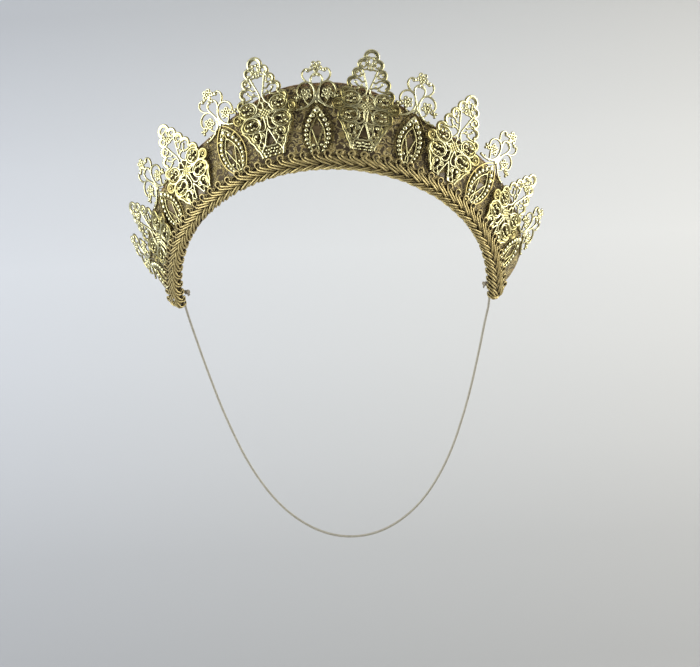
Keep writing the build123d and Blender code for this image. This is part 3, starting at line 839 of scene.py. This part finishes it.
def face_place(number, shift, up, foot, rise, lean):
    """Where a stamping's pattern sits: its frame on the band's face, tipped and turned as it was glued."""
    along = number * STAMPING_PITCH
    turn = max(-HALF_ARC, min(HALF_ARC, along)) / EDGE_RADIUS
    leg = max(abs(along) - HALF_ARC, 0.0)
    sideways = Vector((cos(turn), sin(turn), 0.0))
    outwards = Vector((sin(turn), -cos(turn), 0.0))
    face = outwards * cos(FLARE) - Vector((0.0, 0.0, sin(FLARE)))
    climb = face.cross(sideways)
    middle = Vector((EDGE_RADIUS * sin(turn), leg - EDGE_RADIUS * cos(turn), 0.0)) * MM
    axes = Matrix((sideways, climb, face)).transposed().to_4x4()
    hinge = Matrix.Translation((0.0, foot * MM, STAMPING_BACK * MM)) @ Matrix.Rotation(radians(rise), 4, "X")
    seat = Matrix.Translation((shift * MM, (up - foot) * MM, 0.0)) @ Matrix.Rotation(-radians(lean), 4, "Z")
    return TO_ROW @ Matrix.Translation(middle) @ axes @ hinge @ seat


def add_stampings(kind, rows, relief, foot, rise):
    """One stamping per row, cut off at its foot."""
    x, y, gap, top = relief.whole()
    for count, (number, shift, up, lean) in enumerate(rows, start=1):
        tip = radians(lean)
        below = foot - up + x[:, None] * sin(tip) - y[None, :] * cos(tip)
        piece = relief_mesh(f"{kind}_{count}", x, y, np.maximum(gap, below), top)
        piece.matrix_world = face_place(number, shift, up, foot, rise, lean)
        stand_for(piece, f"{kind}_filigree_{count}")


add_stampings("kite", KITES, kite_relief(), KITE_FOOT, KITE_RISE)
add_stampings("fleur", FLEURS, fleur_relief(), FLEUR_FOOT, 0.0)

# ------------------------------------------------------------------ cords: swept threads


CORD_SIDES = 10
FIRST_SIDE = (0.31, 0.52, 0.79)                          # no cord starts along this direction
ROUND_END = [(1.0, 0.25), (0.72, 0.72), (0.35, 0.95)]    # beyond the end and girth, in radii


class Cords:
    """Round cords gathered into one mesh, with a map of their length and girth for the wound thread."""

    def __init__(self):
        self.points, self.faces, self.maps, self.levels = [], [], [], []

    def add(self, line, radius, lift=None, outward=None):
        """Sweep a cord along points in metres.  A plaited one also notes how far out it lies, for its painted
        shade.
        """
        line = np.asarray(line, float)
        ahead = np.gradient(line, axis=0)
        ahead /= np.linalg.norm(ahead, axis=1)[:, None]
        side = np.cross(ahead[0], FIRST_SIDE)
        side /= np.linalg.norm(side)
        turn = np.arange(CORD_SIDES) * tau / CORD_SIDES
        rings, steps = [], []
        long = run_along(line)
        places = [(0, -beyond, share) for beyond, share in ROUND_END]
        places += [(i, 0.0, 1.0) for i in range(len(line))]
        places += [(len(line) - 1, beyond, share) for beyond, share in reversed(ROUND_END)]
        last = 0
        for i, beyond, share in places:
            for k in range(last + 1, i + 1):
                side = side - ahead[k] * (side @ ahead[k])
                side /= np.linalg.norm(side)
            last = max(last, i)
            other = np.cross(ahead[i], side)
            centre = line[i] + ahead[i] * beyond * radius
            girth = radius * share * (np.outer(np.cos(turn), side) + np.outer(np.sin(turn), other))
            rings.append(centre + girth)
            if outward is not None:
                self.levels.extend(lift[i] + girth @ outward[i] / MM)
            steps.append((long[i] + beyond * radius) / MM)
        first = len(self.points) * CORD_SIDES
        for r, (low, high) in enumerate(zip(steps, steps[1:])):
            a = first + r * CORD_SIDES
            b = a + CORD_SIDES
            for k in range(CORD_SIDES):
                n = (k + 1) % CORD_SIDES
                self.faces.append((a + k, a + n, b + n, b + k))
                here, there = k / CORD_SIDES, (k + 1) / CORD_SIDES
                self.maps.append(((low, here), (low, there), (high, there), (high, here)))
        final = first + (len(rings) - 1) * CORD_SIDES
        around = range(CORD_SIDES)
        for base, step, order in ((first, steps[0], around[::-1]), (final, steps[-1], around)):
            self.faces.append(tuple(base + k for k in order))
            self.maps.append(tuple((step, k / CORD_SIDES) for k in order))
        self.points.extend(rings)

    def build(self, name, material):
        """All the cords as one piece."""
        piece = make_object(name, np.vstack(self.points), self.faces, material)
        add_map(piece, "thread", self.maps)
        if self.levels:
            add_map(piece, "level", [[(self.levels[corner], 0.0) for corner in face] for face in self.faces])
        return piece


def run_along(line):
    """The length of a line up to each of its points."""
    return np.concatenate([[0.0], np.cumsum(np.linalg.norm(np.diff(line, axis=0), axis=1))])


def add_map(piece, name, maps):
    """Give a mesh a named map, one pair per corner of each face."""
    layer = piece.data.uv_layers.new(name=name)
    flat = np.array([pair for face in maps for pair in face], float).ravel()
    layer.data.foreach_set("uv", flat)


# ------------------------------------------------------------------ gimp braid

ROLL_INNER = 1.9          # radius of the cloth rolled round the corded lower edge
BRAID_MIDDLE = 2.7        # middle of the braid's thickness, round the lower edge
BRAID_PITCH = 5.4
BRAID_CORD = 0.47         # radius of the cord it is plaited from
EYELET = 1.34             # radius of each loop's eyelet, to the middle of its cord
EYELET_ROW = 5.35         # eyelets, across from the braid's middle line
END_REACH = 1.0           # the braid passes the end of the band by this much
END_EASE = 0.6            # before the end it starts to be held back
MIDDLE_TURN = 52.0        # degrees round the edge of the braid's middle line, at the front
END_TURN = 34.0           # and how much further round it has drifted at the ends
LEAF_GAPS = (0.80, 0.64, 0.52)  # half the gap between a loop's two cords: at the eyelet, then down its legs
STAND_OFF = radians(9.0)  # the stampings' feet push the outer half of the braid outwards
# Middle line of one hairpin loop, from its eyelet to its tail: along, across and lift
HALF_LEAF = [
    (-0.1, 4.1, 0.1),
    (0.45, 3.3, 0.3),
    (1.5, 2.5, 0.5),
    (3.0, 1.8, 0.5),
    (4.8, 1.1, 0.3),
    (6.4, 0.5, -0.1),
    (7.8, -0.3, -0.8),
]


def braid_place(along, over, lift):
    """A point of the braid: along it, across it from its middle line, and out from its thickness."""
    along = np.asarray(along, float)
    drift = MIDDLE_TURN + END_TURN * np.clip(np.abs(along) / LEFT_END, 0, 1) ** 1.5
    end = np.where(along > 0, LEFT_END, RIGHT_END)
    past = np.abs(along) - np.abs(end)
    held = end + np.sign(along) * END_REACH * np.tanh(past / END_REACH)
    along = np.where(past > -END_EASE, held, along)
    angle = drift + np.degrees(over / BRAID_MIDDLE)
    flat = np.radians(np.maximum(angle - 90.0, 0.0)) * BRAID_MIDDLE
    up, out = round_edge(np.minimum(angle, 90.0), BRAID_MIDDLE + lift)
    return band(along, up + flat * cos(STAND_OFF), out + flat * sin(STAND_OFF))


def lay_cord(along, over, lift):
    """Add one cord of the plait, with the direction that faces out of it at each point."""
    line = braid_place(along, over, lift)
    outward = braid_place(along, over, lift + 0.5) - line
    outward /= np.linalg.norm(outward, axis=1)[:, None]
    braid.add(line, BRAID_CORD * MM, lift, outward)


def leaf_line():
    """One hairpin loop of the braid, laid flat: along, across and lift."""
    middle = smooth_line(HALF_LEAF, 0.5)
    ahead = np.gradient(middle[:, :2], axis=0)
    ahead /= np.linalg.norm(ahead, axis=1)[:, None]
    spread = np.interp(np.arange(len(middle)) / len(middle), (0.0, 0.25, 0.7), LEAF_GAPS)
    aside = np.stack([-ahead[:, 1], ahead[:, 0]], axis=-1) * spread[:, None]
    near, far = middle.copy(), middle.copy()
    near[:, :2] -= aside
    far[:, :2] += aside
    turn = np.radians(np.linspace(232.0, -52.0, 24))
    ring = np.stack([EYELET * np.cos(turn), EYELET_ROW + EYELET * np.sin(turn), 0.12 * np.sin(turn)], axis=-1)
    return np.vstack([near[::-1][:-1], ring, far[1:]])


braid = Cords()
rng = np.random.default_rng(7)
leaf = leaf_line()
for side in (1, -1):
    start = RIGHT_END - 5.0 + (0.0 if side > 0 else BRAID_PITCH / 2)
    for number in range(int((LEFT_END - RIGHT_END + 5.0) / BRAID_PITCH) + 1):
        wander = rng.normal(0.0, 0.12, 3)
        size = 1.0 + rng.normal(0.0, 0.025)
        along = start + number * BRAID_PITCH + wander[0] + leaf[:, 0] * size
        over = side * (leaf[:, 1] * size + wander[1] * 0.6)
        lay_cord(along, over, leaf[:, 2] + wander[2] * 0.5)

# A wavy core runs through each row of eyelets and closes the braid's two rims
for side in (1, -1):
    along = np.arange(RIGHT_END - 0.4, LEFT_END + 0.5, 0.7)
    wave = (along + (0.0 if side > 0 else BRAID_PITCH / 2)) * tau / BRAID_PITCH
    for level, lift, phase in ((5.6, -0.45, 0.0), (4.1, -0.55, pi)):
        over = side * (level + 0.75 * np.cos(wave + phase))
        lay_cord(along, over, lift + 0.15 * np.sin(wave))

# The plait is turned over each end of the band
for end, way in ((LEFT_END, 1), (RIGHT_END, -1)):
    for turn_over, drop in ((0.55, 0.0), (1.1, 1.05)):
        over = np.radians(np.linspace(-188.0, 80.0, 60)) * BRAID_MIDDLE
        lay_cord(np.full(len(over), end + way * (0.3 + turn_over)), over, np.full(len(over), -drop))
gimp = braid.build("gimp_braid_cords", GIMP)
stand_for(gimp, "gimp_braid")

# ------------------------------------------------------------------ cloth


def strip_mesh(name, sheets, material):
    """A closed cloth from two grids of points, its front and its back, with a map in millimetres."""
    front, back, maps = sheets
    rows, columns = front.shape[:2]
    count = rows * columns
    points = np.vstack([front.reshape(-1, 3), back.reshape(-1, 3)])
    number = np.arange(count).reshape(rows, columns)
    faces, corner_maps = [], []

    def put(loop, spots):
        faces.append(tuple(int(value) for value in loop))
        corner_maps.append([tuple(maps[spot]) for spot in spots])

    for i in range(rows - 1):
        for j in range(columns - 1):
            spots = [(i, j), (i + 1, j), (i + 1, j + 1), (i, j + 1)]
            loop = [number[spot] for spot in spots]
            put(loop, spots)
            put([value + count for value in reversed(loop)], spots[::-1])
    rim = [(i, 0) for i in range(rows)] + [(rows - 1, j) for j in range(1, columns)]
    rim += [(i, columns - 1) for i in range(rows - 2, -1, -1)] + [(0, j) for j in range(columns - 2, 0, -1)]
    for here, there in zip(rim, rim[1:] + rim[:1]):
        a, b = number[here], number[there]
        put([b, a, a + count, b + count], [there, here, here, there])
    piece = make_object(name, points, faces, material)
    add_map(piece, "cloth", corner_maps)
    return piece


BUCKRAM = 1.5             # thickness of the stiff base
CLOTH = 0.5               # thickness of a cloth with its glue
CORD_RADIUS = 1.4         # of the piping cord in the lower edge
COVER_FACE = BUCKRAM / 2 + CLOTH
BINDING_HALF = 1.35       # half the bound edge's thickness
BINDING_DEPTH = 2.2       # how far the binding comes down from the top edge
BINDING_SIDES = 20
BINDING_STEP = 0.42       # of cloth from one side of the binding to the next
BEND_START, BEND_END = 0.6, 3.0  # heights between which the cloth eases from the roll onto the flat


def pucker(along, up, size):
    """Small soft unevenness of glued cloth."""
    waves = np.sin(along * 0.31 + 2.0 * np.sin(up * 0.11)) * np.sin(up * 0.23 + 0.6 * np.sin(along * 0.17))
    ripples = np.sin(along * 0.83 + up * 0.37 + 1.3) * np.sin(up * 0.71 - along * 0.29)
    return size * (0.65 * waves + 0.35 * ripples)


def cloth_sheets(side, low_angle, face, hidden, size):
    """Front and back of the cloth on one side of the band, from the corded edge up into the binding."""
    along = np.linspace(RIGHT_END, LEFT_END, 321)
    wrap = np.radians(np.linspace(low_angle, 90.0, 9))
    share = np.linspace(0.0, 1.0, 34)[1:]
    fronts, backs, maps = [], [], []
    for s in along:
        top = float(top_height(s)) - BINDING_DEPTH * 0.55
        rise = BEND_START + (top - BEND_START) * share
        rolls = []
        for radius, flat in ((ROLL_INNER, face), (CORD_RADIUS, hidden)):
            up = np.concatenate([-radius * np.cos(wrap), rise])
            eased = np.interp(rise, (BEND_START, BEND_END), (radius, flat))
            rolls.append((up, np.concatenate([radius * np.sin(wrap), eased])))
        (front_up, front_out), (back_up, back_out) = rolls
        front_out = front_out + pucker(s, front_up, size) * np.interp(front_up, (4.0, 9.0), (0.0, 1.0))
        girth = run_along(np.stack([front_up, front_out], axis=-1))
        fronts.append(band(s, front_up, side * front_out))
        backs.append(band(s, back_up, side * back_out))
        stretch = 1 + front_up * sin(FLARE) / EDGE_RADIUS
        maps.append(np.stack([s * stretch, girth], axis=-1))
    sheets = [np.array(fronts), np.array(backs), np.array(maps)]
    if side < 0:
        sheets = [part[::-1] for part in sheets]
    return sheets


cover = strip_mesh("brocade_cover", cloth_sheets(1, -88.0, COVER_FACE, BUCKRAM / 2, 0.14), BROCADE)
stand_for(cover, "front_cover")
lining = strip_mesh("lining_cloth", cloth_sheets(-1, 89.0, COVER_FACE, BUCKRAM / 2, 0.16), LINING)
stand_for(lining, "lining")


def rim_route():
    """Along, up and the upward direction in the face, all along the bound edge from end to end."""
    share = np.linspace(0.0, 1.0, 14)[:-1]
    corner = END_CORNER * (1 - np.cos(np.linspace(0, pi / 2, 12)))[:-1]
    right_up = [(RIGHT_END, up) for up in BRAID_TOP + (float(top_height(RIGHT_END)) - BRAID_TOP) * share]
    left_up = [(LEFT_END, up) for up in BRAID_TOP + (float(top_height(LEFT_END)) - BRAID_TOP) * share]
    straight = np.linspace(RIGHT_END + END_CORNER, LEFT_END - END_CORNER, 260)
    top = [(s, float(top_height(s))) for s in (*(RIGHT_END + corner), *straight, *(LEFT_END - corner)[::-1])]
    return np.array(right_up + top + left_up[::-1])


def binding_mesh():
    """A bias strip rolled over the top edge, with slanting strain creases."""
    route = rim_route()
    ahead = np.gradient(route, axis=0)
    ahead /= np.linalg.norm(ahead, axis=1)[:, None]
    inward = np.stack([ahead[:, 1], -ahead[:, 0]], axis=-1)
    long = run_along(route)
    around = np.linspace(0, tau, BINDING_SIDES, endpoint=False)
    deep = (1.0 - np.cos(around)) * BINDING_DEPTH / 2 * 1.05
    bulge = np.sign(np.sin(around)) * np.abs(np.sin(around)) ** 0.75 * BINDING_HALF * 0.97
    sides = range(BINDING_SIDES)
    points, faces, maps = [], [], []
    for spot, inside, run in zip(route, inward, long):
        slant = 1.6 * np.sin(around) + 0.8 * np.sin(run * 0.37)
        crease = 1.0 + 0.05 * np.sin(run * 1.9 + slant) + 0.03 * np.sin(run * 0.71)
        thick = bulge * crease
        points.append(band(spot[0] + inside[0] * deep, spot[1] + inside[1] * deep, thick))
    for i in range(len(route) - 1):
        a = i * BINDING_SIDES
        b = a + BINDING_SIDES
        for k in sides:
            n = (k + 1) % BINDING_SIDES
            faces.append((a + k, a + n, b + n, b + k))
            low, high = k * BINDING_STEP, (k + 1) * BINDING_STEP
            maps.append(((long[i], low), (long[i], high), (long[i + 1], high), (long[i + 1], low)))
    for base, run, order in ((0, long[0], sides[::-1]), ((len(route) - 1) * BINDING_SIDES, long[-1], sides)):
        faces.append(tuple(base + k for k in order))
        maps.append(tuple((run, k * BINDING_STEP) for k in order))
    piece = make_object("bound_edge", np.vstack(points), faces, BINDING)
    add_map(piece, "cloth", maps)
    return piece


binding = binding_mesh()
stand_for(binding, "top_binding")

# ------------------------------------------------------------------ knots


def knot_piece(name, node, side):
    """A small overhand knot of doubled elastic, pulled tight against the lining."""
    low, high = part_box(node)
    middle = (np.array(low) + np.array(high)) / 2
    turn = np.linspace(0, tau, 90, endpoint=False)
    aside = np.sin(turn) + 1.6 * np.sin(2 * turn)
    forward = np.cos(turn) - 1.6 * np.cos(2 * turn)
    loops = np.stack([aside, forward, -1.3 * np.sin(3 * turn)], axis=-1)
    knot = Cords()
    line = middle + loops * (0.42 * MM)
    knot.add(np.vstack([line, line[:3]]), 0.62 * MM)
    for slant in (-1, 1):
        tail = np.array([(0, 0, 0), (0.5, slant * 1.0, -0.6), (0.9, slant * 1.6, -1.6)]) * MM
        tail[:, 0] *= -side
        knot.add(smooth_line(middle + tail, 0.3 * MM), 0.4 * MM)
    piece = knot.build(name, KNOT)
    stand_for(piece, node)


knot_piece("knot_left", "elastic_knot_left", 1)
knot_piece("knot_right", "elastic_knot_right", -1)

# ------------------------------------------------------------------ studio

FLOOR = -0.30
BACKDROP = 1.1
HALF_STAGE = 3.0
CORNER = 0.8
EYE_DISTANCE, EYE_HEIGHT = 0.99, 0.13   # the sheet's shades are graded for an eye here, in front of the crown
LEVEL_LOW, LEVEL_HIGH = -0.34, 0.01     # slopes of sight between which the shades change
UNSEEN_FLOOR = 0.25                     # nearer than this the floor is only seen from other sides, and pales
# painted light: the sheet glows by this much of its own colour, though it is no lamp
GLOW = 0.42
# Painted light levels of the sheet, from the lowest slope of sight to the highest
PAINTED_LIGHT_LEVELS = [
    (0.0, 0.57),
    (0.20, 0.68),
    (0.34, 0.81),
    (0.49, 0.92),
    (0.64, 1.0),
    (0.78, 0.93),
    (0.90, 0.82),
    (1.0, 0.71),
]
# Its painted light tints, bluer on the left and warmer on the right, from the left to the right
PAINTED_LIGHT_TINTS = [
    (0.0, (0.505, 0.53, 0.60)),
    (0.5, (0.56, 0.563, 0.57)),
    (1.0, (0.605, 0.58, 0.545)),
]


def sight_slope(y, z):
    """Slope of the line of sight to a point of the sheet, which picks its painted light level."""
    if y > UNSEEN_FLOOR:
        return (z - EYE_HEIGHT) / (y + EYE_DISTANCE)
    return LEVEL_LOW + min(0.1 * (UNSEEN_FLOOR - y), 0.19)


def backdrop():
    """A pale seamless floor that sweeps up into the wall behind, with painted light: brightest level with the
    crown, darker above and below, and glowing a little by its own colour.
    """
    turn = np.linspace(0, pi / 2, 24)
    profile = [(y, FLOOR) for y in np.linspace(-4.0, BACKDROP - CORNER, 40)]
    profile += [(BACKDROP - CORNER + CORNER * sin(t), FLOOR + CORNER * (1 - cos(t))) for t in turn[1:]]
    profile += [(BACKDROP, z) for z in np.linspace(FLOOR + CORNER, 3.0, 40)[1:]]
    points = [(x, y, z) for y, z in profile for x in (-HALF_STAGE, HALF_STAGE)]
    faces = [(2 * i, 2 * i + 1, 2 * i + 3, 2 * i + 2) for i in range(len(profile) - 1)]
    slopes = [sight_slope(y, z) for y, z in profile]
    maps = [[(0, low), (1, low), (1, high), (0, high)] for low, high in zip(slopes, slopes[1:])]
    nodes = Nodes("backdrop")
    place = nodes.object_place()
    sideways = nodes.spread(nodes.add("SeparateXYZ", {0: place}).outputs[0], -0.7, 0.7)
    painted_tint = nodes.colours(sideways, PAINTED_LIGHT_TINTS)
    level = nodes.add("SeparateXYZ", {0: nodes.uv("height")}).outputs[1]
    level = nodes.spread(level, LEVEL_LOW, LEVEL_HIGH)
    shade = nodes.colours(level, [(where, (share, share, share)) for where, share in PAINTED_LIGHT_LEVELS])
    # painted light: the graded level and tint make the sheet's colour, which it also gives off as glow
    colour = nodes.mix(1.0, painted_tint, shade, "MULTIPLY")
    material = nodes.finish(Base_Color=colour, Roughness=0.9, Emission_Color=colour, Emission_Strength=GLOW)
    piece = make_object("backdrop", points, faces, material)
    add_map(piece, "height", maps)


def area_light(name, place, aim, size, power, colour):
    """A soft rectangular light, aimed at a point."""
    data = bpy.data.lights.new(name, "AREA")
    data.shape = "RECTANGLE"
    data.size, data.size_y = size
    data.energy = power
    data.color = colour
    light = bpy.data.objects.new(name, data)
    SCENE.collection.objects.link(light)
    way = (Vector(aim) - Vector(place)).to_track_quat("-Z", "Y")
    light.matrix_world = Matrix.Translation(place) @ way.to_matrix().to_4x4()


def studio_world():
    """Pale behind everything.  The object itself sees a dim room in front and a paler one behind."""
    world = bpy.data.worlds.new("studio")
    SCENE.world = world
    world.use_nodes = True
    tree = world.node_tree
    background = tree.nodes["Background"]
    background.inputs["Strength"].default_value = 1.0
    place = tree.nodes.new("ShaderNodeTexCoord")
    parts = tree.nodes.new("ShaderNodeSeparateXYZ")
    ramp = tree.nodes.new("ShaderNodeValToRGB")
    span = tree.nodes.new("ShaderNodeMapRange")
    seen = tree.nodes.new("ShaderNodeLightPath")
    mix = tree.nodes.new("ShaderNodeMix")
    mix.data_type = "RGBA"
    tree.links.new(place.outputs["Generated"], parts.inputs[0])
    tree.links.new(parts.outputs[1], span.inputs[0])
    span.inputs[1].default_value = -1.0
    span.inputs[2].default_value = 0.5
    tree.links.new(span.outputs[0], ramp.inputs[0])
    ramp.color_ramp.elements[0].color = (0.02, 0.02, 0.017, 1.0)
    ramp.color_ramp.elements[1].color = (0.95, 0.95, 0.93, 1.0)
    tree.links.new(seen.outputs["Is Camera Ray"], mix.inputs[0])
    tree.links.new(ramp.outputs[0], mix.inputs[6])
    mix.inputs[7].default_value = (0.64, 0.65, 0.66, 1.0)
    tree.links.new(mix.outputs[2], background.inputs["Color"])


backdrop()
area_light("softbox_left", (-1.20, -0.52, 0.27), (0, 0, 0.02), (1.1, 1.2), 19.5, (0.95, 1.0, 0.99))
area_light("softbox_right", (1.30, 0.12, 0.14), (0, 0, 0.02), (1.0, 1.2), 21.0, (0.98, 1.0, 0.96))
area_light("top_light", (0.0, -0.1, 1.5), (0, 0.0, 0), (0.8, 0.8), 1.0, (1.0, 1.0, 1.0))
studio_world()
SCENE.view_settings.view_transform = "Standard"
